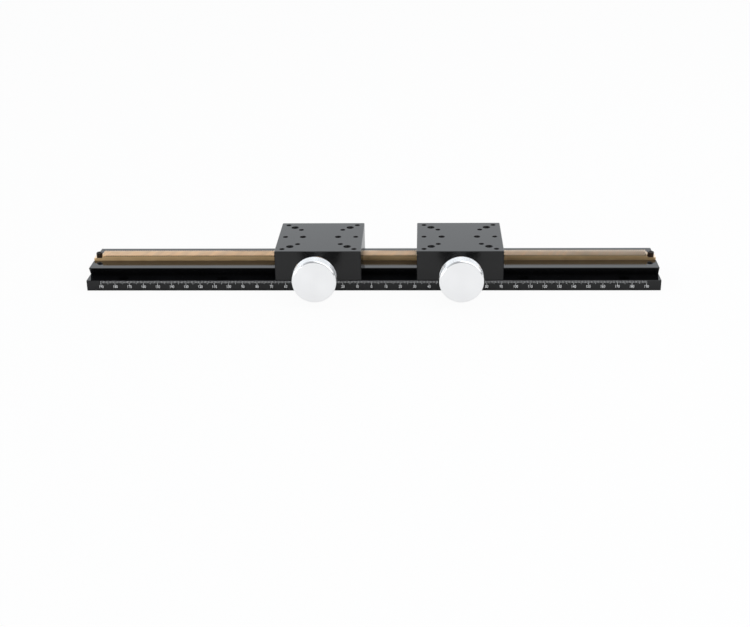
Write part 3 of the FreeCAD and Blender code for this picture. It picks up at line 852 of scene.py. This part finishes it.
@dataclass(frozen=True)
class SocketScrew:
    """Screw with a hexagon socket, upright, its head's top at height 0."""

    head_radius: float
    head_height: float
    shank_radius: float
    shank_length: float
    hexagon: float
    socket_depth: float
    edge: float = 0.25 * MM
    mouth: float = 0.12 * MM
    point_share: float = 0.25
    steps: int = 48
    knurl_depth: float = 0.0
    knurl_rows: int = 3

    def shape(self) -> bmesh.types.BMesh:
        """Model the screw.

        Returns:
            The screw's closed shape.
        """
        side_top = -self.edge
        side_bottom = self.edge - self.head_height
        band_radius = self.head_radius - self.knurl_depth
        rows = spread(side_top, side_bottom, self.knurl_rows)
        corner = self.hexagon / math.sqrt(3)
        foot = -self.head_height - self.shank_length
        profile = [
            (corner + 2 * self.mouth, 0),
            (band_radius - self.edge, 0),
            *((band_radius, height) for height in rows),
            (band_radius - self.edge, -self.head_height),
            (self.shank_radius, -self.head_height),
            (self.shank_radius, foot + self.edge),
            (self.shank_radius - self.edge, foot),
            (0, foot),
        ]
        shape = spun(profile, self.steps)
        rim = [edge for edge in shape.edges if edge.is_boundary]
        circle = bmesh.ops.create_circle(shape, segments=HEXAGON_SIDES, radius=corner + self.mouth)
        mouth = list({edge for vert in circle["verts"] for edge in vert.link_edges})
        bmesh.ops.bridge_loops(shape, edges=rim + mouth)
        wall = self.sink(shape, mouth, self.mouth, corner / (corner + self.mouth))
        floor = self.sink(shape, wall, self.socket_depth - self.mouth, 1.0)
        bottom = bmesh.ops.contextual_create(shape, geom=floor)["faces"]
        point = bmesh.ops.poke(shape, faces=bottom)["verts"]
        bmesh.ops.translate(shape, verts=point, vec=(0, 0, -self.hexagon * self.point_share))
        tidy(shape)
        if self.knurl_depth:
            knurl(shape, (side_bottom, side_top), band_radius - self.edge / 2, self.knurl_depth)
        shade(shape)
        return shape

    @staticmethod
    def sink(
        shape: bmesh.types.BMesh, edges: list[bmesh.types.BMEdge], depth: float, share: float,
    ) -> list[bmesh.types.BMEdge]:
        """Carry the socket's edges further down.

        Args:
            shape: The screw so far.
            edges: Lowest edges of the socket.
            depth: How far they go down.
            share: Size of the new edges against the old.

        Returns:
            The new lowest edges.
        """
        made = bmesh.ops.extrude_edge_only(shape, edges=edges)["geom"]
        points = [item for item in made if isinstance(item, bmesh.types.BMVert)]
        bmesh.ops.scale(shape, verts=points, vec=(share, share, 1))
        bmesh.ops.translate(shape, verts=points, vec=(0, 0, -depth))
        return [item for item in made if isinstance(item, bmesh.types.BMEdge) and item.is_boundary]


@dataclass(frozen=True)
class TappedHoles:
    """Threads of the tapped holes that stand upright in one face."""

    mounts: str
    face: float
    length: float = 6.0 * MM
    height_share: float = 0.22
    foot_share: float = 0.25
    steps: int = 18
    mouth_chamfer: float = 0.3 * MM

    def places(self) -> Iterable[tuple[Thread, float, float]]:
        """Holes of the record's mounts whose names begin as this face's do.

        Yields:
            Thread of each hole, and its place across the face.
        """
        for mount in frame["record"]["mounts"]:
            if mount["kind"] != "bolt_pattern" or not mount["name"].startswith(self.mounts):
                continue
            dims = mount["dims"]
            thread = Thread.nearest(dims["hole_r_mm"] * MM)
            across = dims["spacing_x_mm"] * MM / 2
            along = dims.get("spacing_y_mm", 0.0) * MM / 2
            for x in (-across, across):
                for y in sorted({-along, along}):
                    yield thread, mount["pos_m"][0] + x, mount["pos_m"][1] + y

    def ridge(self, thread: Thread) -> bmesh.types.BMesh:
        """Model the thread of one hole, from its mouth down.

        Args:
            thread: Thread of the hole.

        Returns:
            A ridge that winds down inside the hole's wall.
        """
        core, pitch = thread.core, thread.pitch
        inner = core - pitch * self.height_share
        foot = pitch * self.foot_share
        turns = int(self.length / pitch)
        corners = [(core, -foot), (inner, 0), (core, foot)]
        shape = wound(corners, TURN * turns, turns * self.steps, pitch / self.steps)
        shade(shape)
        return shape

    def shape(self) -> bmesh.types.BMesh:
        """Model the threads of all the holes.

        Returns:
            The ridges, in place.
        """
        members = []
        for thread, x, y in self.places():
            place = (x, y, self.face - self.mouth_chamfer - thread.pitch / 2)
            members.append((self.ridge(thread), Facing.UP.at(place)))
        return joined(members)


@dataclass
class Scale:
    """White millimetre scale on the rail's front face: a line each millimetre and a number each ten."""

    face_y: float
    top: float
    half_span: int = 190
    line_width: float = 0.16 * MM
    paint: float = 0.02 * MM
    unit_line: float = 1.6 * MM
    five_line: float = 2.3 * MM
    ten_line: float = 3.2 * MM
    five_step: int = 5
    ten_step: int = 10
    digit_height: float = 2.05 * MM
    digit_foot: float = 2.0 * MM
    digit_narrowing: float = 0.78
    digit_swelling: float = 0.005
    digit_steps: int = 3

    def line_length(self, millimetre: int) -> float:
        """Choose the length of a line of the scale.

        Args:
            millimetre: The line's place, from the zero.

        Returns:
            The line's length, longer at fives and longest at tens.
        """
        if millimetre % self.ten_step == 0:
            return self.ten_line
        return self.five_line if millimetre % self.five_step == 0 else self.unit_line

    def lines(self) -> bmesh.types.BMesh:
        """Draw the scale's lines.

        Returns:
            Thin bars of paint, one for each millimetre.
        """
        shape = bmesh.new()
        for millimetre in range(-self.half_span, self.half_span + 1):
            length = self.line_length(millimetre)
            middle = Matrix.Translation((millimetre * MM, self.face_y, self.top - length / 2))
            size = Matrix.Diagonal((self.line_width, 2 * self.paint, length, 1))
            bmesh.ops.create_cube(shape, size=1, matrix=middle @ size)
        return shape

    def numbers(self) -> bmesh.types.BMesh:
        """Draw the scale's numbers.

        Returns:
            Thin digits of paint, counted both ways from the zero.
        """
        whole = bmesh.new()
        for millimetre in range(-self.half_span, self.half_span + 1, self.ten_step):
            curve = bpy.data.curves.new("number", "FONT")
            curve.body = str(abs(millimetre))
            curve.align_x = "CENTER"
            curve.offset = self.digit_swelling
            curve.resolution_u = self.digit_steps
            text = bpy.data.objects.new("number", curve)
            mesh = bpy.data.meshes.new_from_object(text)
            bpy.data.objects.remove(text)
            bpy.data.curves.remove(curve)
            height = max(vertex.co.y for vertex in mesh.vertices)
            size = self.digit_height / height
            sizes = Matrix.Diagonal((size * self.digit_narrowing, size, size, 1))
            place = (millimetre * MM, self.face_y, self.digit_foot)
            mesh.transform(Facing.FRONT.at(place) @ sizes)
            whole.from_mesh(mesh)
            bpy.data.meshes.remove(mesh)
        raised = bmesh.ops.extrude_face_region(whole, geom=whole.faces[:])["geom"]
        points = [item for item in raised if isinstance(item, bmesh.types.BMVert)]
        bmesh.ops.translate(whole, verts=points, vec=(0, -self.paint, 0))
        tidy(whole)
        return whole


@dataclass
class Rail:
    """Rail with its rack, the screws at the rack's ends and the scale on its front face."""

    palette: Palette
    body: str = "rail"
    flange_height: float = 7.5 * MM
    edge_break: float = 0.3 * MM
    end_holes: str = "end_stop_holes"
    head_inset: float = 2.25 * MM
    screw: SocketScrew = SocketScrew(
        head_radius=2.25 * MM, head_height=2.5 * MM, shank_radius=1.25 * MM, shank_length=7.9 * MM,
        hexagon=2.0 * MM, socket_depth=1.3 * MM, knurl_depth=0.08 * MM,
    )

    def build(self) -> None:
        """Dress the rail and its rack, and add the screws, the threads and the scale."""
        dress_node("dovetail_rail", self.palette.anodised)
        dress_node("gear_rack", self.palette.brass)
        self.end_screws()
        low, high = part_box("dovetail_rail")
        threads = TappedHoles(mounts=self.end_holes, face=high.z).shape()
        add_piece("end_hole_threads", threads, self.body, Slot.BLACK_ANODISED, self.palette.anodised)
        scale = Scale(face_y=low.y, top=self.flange_height - self.edge_break)
        add_piece("scale_lines", scale.lines(), self.body, None, self.palette.paint)
        add_piece("scale_numbers", scale.numbers(), self.body, None, self.palette.paint)

    def end_screws(self) -> None:
        """Add the cap screws at the ends of the rack."""
        low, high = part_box("rack_end_screws")
        places = [(low.x + self.head_inset, 0, high.z), (high.x - self.head_inset, 0, high.z)]
        shape = joined((self.screw.shape(), Facing.UP.at(place)) for place in places)
        piece = add_piece("rack_cap_screws", shape, self.body, Slot.BLACK_OXIDE, self.palette.oxide)
        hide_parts("rack_end_screws")


@dataclass
class SideAssembly:
    """Sub-assembly that the table has one of on each side."""

    side: Side
    palette: Palette

    def node(self, name: str) -> str:
        """Full name of one of this side's bodies, solids or pieces."""
        return "%s_%s" % (self.side.value, name)


@dataclass
class Carriage(SideAssembly):
    """Table block with its tapped holes, gib, bearings and gib screws."""

    gib_screw_count: int = 3
    gib_screw: SocketScrew = SocketScrew(
        head_radius=2.0 * MM, head_height=5.0 * MM, shank_radius=1.25 * MM, shank_length=3.8 * MM,
        hexagon=2.0 * MM, socket_depth=2.5 * MM, edge=0.3 * MM,
    )

    @property
    def body(self) -> str:
        """Body that the carriage is."""
        return self.node("carriage")

    def build(self) -> None:
        """Dress the carriage's solids, and add its threads and gib screws."""
        dress_node(self.node("carriage_block"), self.palette.anodised)
        low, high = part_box(self.node("front_bush"))
        centre = (low + high) / 2
        steel = TurnedMetal(
            self.node("ground_washers"), tuple(centre), dark=(0.52, 0.52, 0.53), light=(0.66, 0.66, 0.67),
            roughness=(0.2, 0.32),
        ).material()
        for name in ("gib_strip", "front_bush", "rear_bush"):
            dress_node(self.node(name), self.palette.bronze)
        for name in ("thrust_washer", "rear_washer"):
            dress_node(self.node(name), steel)
        self.threads()
        self.gib_screws()

    def threads(self) -> None:
        """Add the threads of the table's tapped holes."""
        _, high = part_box(self.node("carriage_block"))
        shape = TappedHoles(mounts=self.node("table"), face=high.z).shape()
        add_piece(self.node("table_threads"), shape, self.body, Slot.BLACK_ANODISED, self.palette.anodised)

    def gib_screws(self) -> None:
        """Add the gib's set screws in the back face."""
        low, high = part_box(self.node("gib_screws"))
        radius = self.gib_screw.head_radius
        middle = (low.z + high.z) / 2
        step = (high.x - low.x - 2 * radius) / (self.gib_screw_count - 1)
        members = []
        for i in range(self.gib_screw_count):
            place = (low.x + radius + i * step, high.y, middle)
            members.append((self.gib_screw.shape(), Facing.BACK.at(place)))
        name = self.node("gib_set_screws")
        piece = add_piece(name, joined(members), self.body, Slot.BLACK_OXIDE, self.palette.oxide)
        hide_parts(self.node("gib_screws"))


@dataclass
class Drive(SideAssembly):
    """Knob, pinion shaft, retaining ring and set screw of one carriage."""

    knob_thickness: float = 9.5 * MM
    front_chamfer: float = 0.9 * MM
    rear_chamfer: float = 0.7 * MM
    face_round: float = 0.12 * MM
    face_border: float = 0.36 * MM
    knurl_depth: float = 0.15 * MM
    knurl_count: int = 112
    knurl_rows: int = 8
    neck_radius: float = 5.0 * MM
    neck_root: float = 1.0 * MM
    neck_root_steps: int = 6
    neck_chamfer: float = 0.4 * MM
    bore_radius: float = 2.51 * MM
    face_web: float = 2.5 * MM
    set_screw_setback: float = 6.0 * MM
    set_screw: SocketScrew = SocketScrew(
        head_radius=1.49 * MM, head_height=2.6 * MM, shank_radius=1.0 * MM, shank_length=0.38 * MM,
        hexagon=1.5 * MM, socket_depth=1.2 * MM, edge=0.15 * MM, mouth=0.08 * MM,
    )
    screw_gap: float = 0.02 * MM
    ring_inner_radius: float = 2.02 * MM
    ring_outer_radius: float = 3.1 * MM
    ring_span: float = math.radians(300)
    ring_steps: int = 60
    lug_place: float = 3.5 * MM
    lug_radius: float = 0.95 * MM
    lug_hole_radius: float = 0.45 * MM
    lug_turn: float = math.radians(16)

    @property
    def body(self) -> str:
        """Body that the drive is."""
        return self.node("drive")

    def build(self) -> None:
        """Dress the shaft, and add the knob, its set screw and the snap ring."""
        low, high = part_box(self.node("knob"))
        centre = (low + high) / 2
        steel = TurnedMetal(
            self.node("ground_shaft"), tuple(centre), dark=(0.50, 0.50, 0.51), light=(0.64, 0.64, 0.65),
            roughness=(0.18, 0.3),
        ).material()
        aluminium = TurnedMetal(
            self.node("turned_knob"), tuple(centre), dark=(0.90, 0.90, 0.905), light=(0.96, 0.96, 0.965),
            roughness=(0.18, 0.28), anisotropy=0.5,
        ).material()
        dress_node(self.node("pinion_shaft"), steel)
        shape = self.knob_shape((high.x - low.x) / 2, high.y - low.y)
        bmesh.ops.transform(shape, matrix=Facing.FRONT.at((centre.x, high.y, centre.z)), verts=shape.verts)
        knob = add_piece(self.node("knurled_knob"), shape, self.body, Slot.TURNED_ALUMINIUM, aluminium)
        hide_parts(self.node("knob"))
        self.knob_screw()
        self.snap_ring()

    def knob_shape(self, rim_radius: float, length: float) -> bmesh.types.BMesh:
        """Model the knob, upright on the end of its neck.

        Args:
            rim_radius: Radius over the knurl.
            length: Height from the end of the neck to the face.

        Returns:
            The knob's closed shape.
        """
        base = rim_radius - self.knurl_depth
        back = length - self.knob_thickness
        band_top = length - self.front_chamfer
        band_bottom = back + self.rear_chamfer
        rows = spread(band_top, band_bottom, self.knurl_rows)
        face_edge = base - self.front_chamfer
        root = (self.neck_radius + self.neck_root, back - self.neck_root)
        profile = [
            (0, length),
            (face_edge - self.face_border, length),
            (face_edge - self.face_round, length),
            (face_edge + self.face_round, length - self.face_round),
            *((base, height) for height in rows),
            (base - self.rear_chamfer, back),
            *arc(root, self.neck_root, math.pi / 2, math.pi, self.neck_root_steps),
            (self.neck_radius, self.neck_chamfer),
            (self.neck_radius - self.neck_chamfer, 0),
            (self.bore_radius, 0),
            (self.bore_radius, length - self.face_web),
            (0, length - self.face_web),
        ]
        blank = spun(profile, self.knurl_count)
        knurl(blank, (band_bottom, band_top), base - self.knurl_depth / 4, self.knurl_depth)
        drill = rod(
            self.set_screw.head_radius + self.screw_gap, 2 * self.neck_radius - self.bore_radius,
            Facing.FRONT.at((0, -self.neck_radius, self.set_screw_setback)),
        )
        shape = combined(blank, drill, Working.CUT)
        shade(shape)
        return shape

    def knob_screw(self) -> None:
        """Add the set screw below the knob's neck."""
        low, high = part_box(self.node("knob_set_screw"))
        place = ((low.x + high.x) / 2, (low.y + high.y) / 2, low.z)
        shape = joined([(self.set_screw.shape(), Facing.DOWN.at(place))])
        name = self.node("neck_set_screw")
        piece = add_piece(name, shape, self.body, Slot.BLACK_OXIDE, self.palette.oxide)
        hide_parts(self.node("knob_set_screw"))

    def ring_shape(self, thickness: float) -> bmesh.types.BMesh:
        """Model the snap ring, flat on the ground: an open ring with a drilled lug at each of its ends.

        Args:
            thickness: Thickness of the ring's sheet.

        Returns:
            The ring's closed shape.
        """
        inner, outer = self.ring_inner_radius, self.ring_outer_radius
        corners = [(inner, 0), (outer, 0), (outer, thickness), (inner, thickness)]
        shape = wound(corners, self.ring_span, self.ring_steps)
        for turn in (self.lug_turn, self.ring_span - self.lug_turn):
            middle = Matrix.Rotation(turn, 4, "Z") @ Matrix.Translation((self.lug_place, 0, thickness / 2))
            shape = combined(shape, rod(self.lug_radius, thickness, middle), Working.FUSE)
            shape = combined(shape, rod(self.lug_hole_radius, 2 * thickness, middle), Working.CUT)
        shade(shape)
        return shape

    def snap_ring(self) -> None:
        """Add the snap ring in the shaft's groove behind the carriage."""
        low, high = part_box(self.node("retaining_ring"))
        place = ((low.x + high.x) / 2, low.y, (low.z + high.z) / 2)
        shape = joined([(self.ring_shape(high.y - low.y), Facing.BACK.at(place))])
        name = self.node("snap_ring")
        piece = add_piece(name, shape, self.body, Slot.BLACK_OXIDE, self.palette.oxide)
        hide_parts(self.node("retaining_ring"))


@dataclass(frozen=True)
class Softbox:
    """Large soft lamp that looks at the table."""

    name: str
    direction: Triple
    distance: float
    width: float
    height: float
    power: float

    def build(self) -> None:
        """Add the lamp."""
        lamp = bpy.data.lights.new(self.name, "AREA")
        lamp.shape = "RECTANGLE"
        lamp.size = self.width
        lamp.size_y = self.height
        lamp.energy = self.power
        away = Vector(self.direction).normalized()
        turn = away.to_track_quat("Z", "Y").to_matrix().to_4x4()
        holder = in_scene(self.name, lamp)
        holder.matrix_world = Matrix.Translation(away * self.distance) @ turn
        holder.visible_camera = False
        LOG.info("%s: %.1f W", self.name, self.power)


@dataclass(frozen=True)
class Viewpoint:
    """Camera that stands where the photograph was taken."""

    place: Triple = (0.0365, -0.8483, 0.3327)
    yaw: float = 0.0420
    pitch: float = 0.4040
    roll: float = 0.0162
    lens: float = 60.853
    sensor: float = 36.0
    clear: float = 10 * MM

    def build(self) -> None:
        """Add the camera and look through it."""
        camera = bpy.data.cameras.new("viewpoint")
        camera.lens = self.lens
        camera.sensor_width = self.sensor
        camera.sensor_fit = "HORIZONTAL"
        camera.clip_start = self.clear
        holder = in_scene("viewpoint", camera)
        turn = Matrix.Rotation(self.yaw, 4, "Z") @ Matrix.Rotation(math.pi / 2 - self.pitch, 4, "X")
        holder.matrix_world = Matrix.Translation(self.place) @ turn @ Matrix.Rotation(-self.roll, 4, "Z")
        bpy.context.scene.camera = holder


@dataclass
class Studio:
    """White floor, plain surroundings, soft lamps and the camera."""

    floor_size: float = 12.0
    floor_white: float = 0.92
    seen_shadow: float = 0.06
    seen_fade: float = 0.01 * MM
    mirrored_shadow: float = 0.44
    mirrored_fade: float = 26 * MM
    bright_side: Triple = (-0.6, 0.8, 0.0)
    wall_levels: Span = (0.25, 1.15)
    wall_span: Span = (-0.35, 0.25)
    wall_tint: Triple = (0.93, 0.965, 1.0)
    ceiling_level: float = 0.58
    ceiling_span: Span = (0.7, 0.88)
    softboxes: tuple[Softbox, ...] = (
        Softbox(
            "key_softbox", direction=(0.61, -0.34, 0.72), distance=1.3,
            width=1.5, height=2.0, power=9.0,
        ),
        Softbox(
            "fill_softbox", direction=(-0.66, -0.74, 0.035), distance=1.5,
            width=1.2, height=0.09, power=4.4,
        ),
    )

    def build(self) -> None:
        """Set up the floor, the surroundings, the lamps and the camera."""
        bpy.context.scene.view_settings.view_transform = "Standard"
        self.floor()
        self.surroundings()
        for softbox in self.softboxes:
            softbox.build()
        Viewpoint().build()

    def floor(self) -> None:
        """Lay the white floor."""
        shape = bmesh.new()
        bmesh.ops.create_grid(shape, x_segments=1, y_segments=1, size=self.floor_size / 2)
        mesh = mesh_of("floor", shape)
        mesh.materials.append(self.floor_material())
        in_scene("floor", mesh)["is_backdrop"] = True

    def floor_material(self) -> bpy.types.Material:
        """Make a white that keeps a faint shadow of the table, and a full one below the rail.

        Returns:
            The floor's material.
        """
        graph = Graph(bpy.data.materials.new("white_floor"))
        paint = graph.add("ShaderNodeBsdfDiffuse", {"Color": (*(self.floor_white,) * 3, 1.0)}, "BSDF")
        glow = graph.add("ShaderNodeEmission", {}, "Emission")
        low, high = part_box("dovetail_rail")
        oblong = ((low + high) / 2, (high - low) / 2)
        direct = graph.math("MULTIPLY", graph.seen("Camera", "Transmission"), 1 - self.seen_shadow)
        direct = graph.math("MULTIPLY", direct, graph.outside(*oblong, self.seen_fade))
        mirrored = graph.math("MULTIPLY", graph.seen("Glossy"), 1 - self.mirrored_shadow)
        mirrored = graph.math("MULTIPLY", mirrored, graph.outside(*oblong, self.mirrored_fade))
        share = graph.math("MAXIMUM", direct, mirrored)
        mixed = graph.add("ShaderNodeMixShader", {0: share, 1: paint, 2: glow}, "Shader")
        graph.finish("ShaderNodeOutputMaterial", mixed)
        return graph.owner

    def surroundings(self) -> None:
        """Light the table from a white wall at its back and left, with a dimmer room in front."""
        graph = Graph(bpy.data.worlds.new("studio"))
        direction = graph.add("ShaderNodeTexCoord", {}, "Generated")
        sideways = graph.vector_math("DOT_PRODUCT", "Value", direction, self.bright_side)
        walls = graph.between(sideways, self.wall_levels, self.wall_span)
        overhead = graph.between(graph.part(direction, "Z"), NONE_TO_FULL, self.ceiling_span)
        room = graph.blend(walls, self.ceiling_level, overhead)
        backdrop = graph.seen("Camera", "Transmission")
        level = graph.blend(room, 1.0, backdrop)
        colour = graph.tint(backdrop, self.wall_tint, WHITE, NONE_TO_FULL)
        surface = graph.add("ShaderNodeBackground", {"Color": colour, "Strength": level}, "Background")
        graph.finish("ShaderNodeOutputWorld", surface)
        bpy.context.scene.world = graph.owner


def main() -> None:
    """Build the looks of the table, one sub-assembly after another."""
    logging.basicConfig(level=logging.INFO, format="%(name)s: %(message)s")
    cad_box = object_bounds()
    _, rack_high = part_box("gear_rack")
    palette = Palette(tooth_tip=rack_high.z)
    Rail(palette).build()
    for side in Side:
        Carriage(side, palette).build()
        Drive(side, palette).build()
    Studio().build()
    boxes = {"cad": cad_box, "visual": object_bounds()}
    sizes = {name: [list(corner) for corner in corners] for name, corners in boxes.items()}


if __name__ == "__main__":
    main()
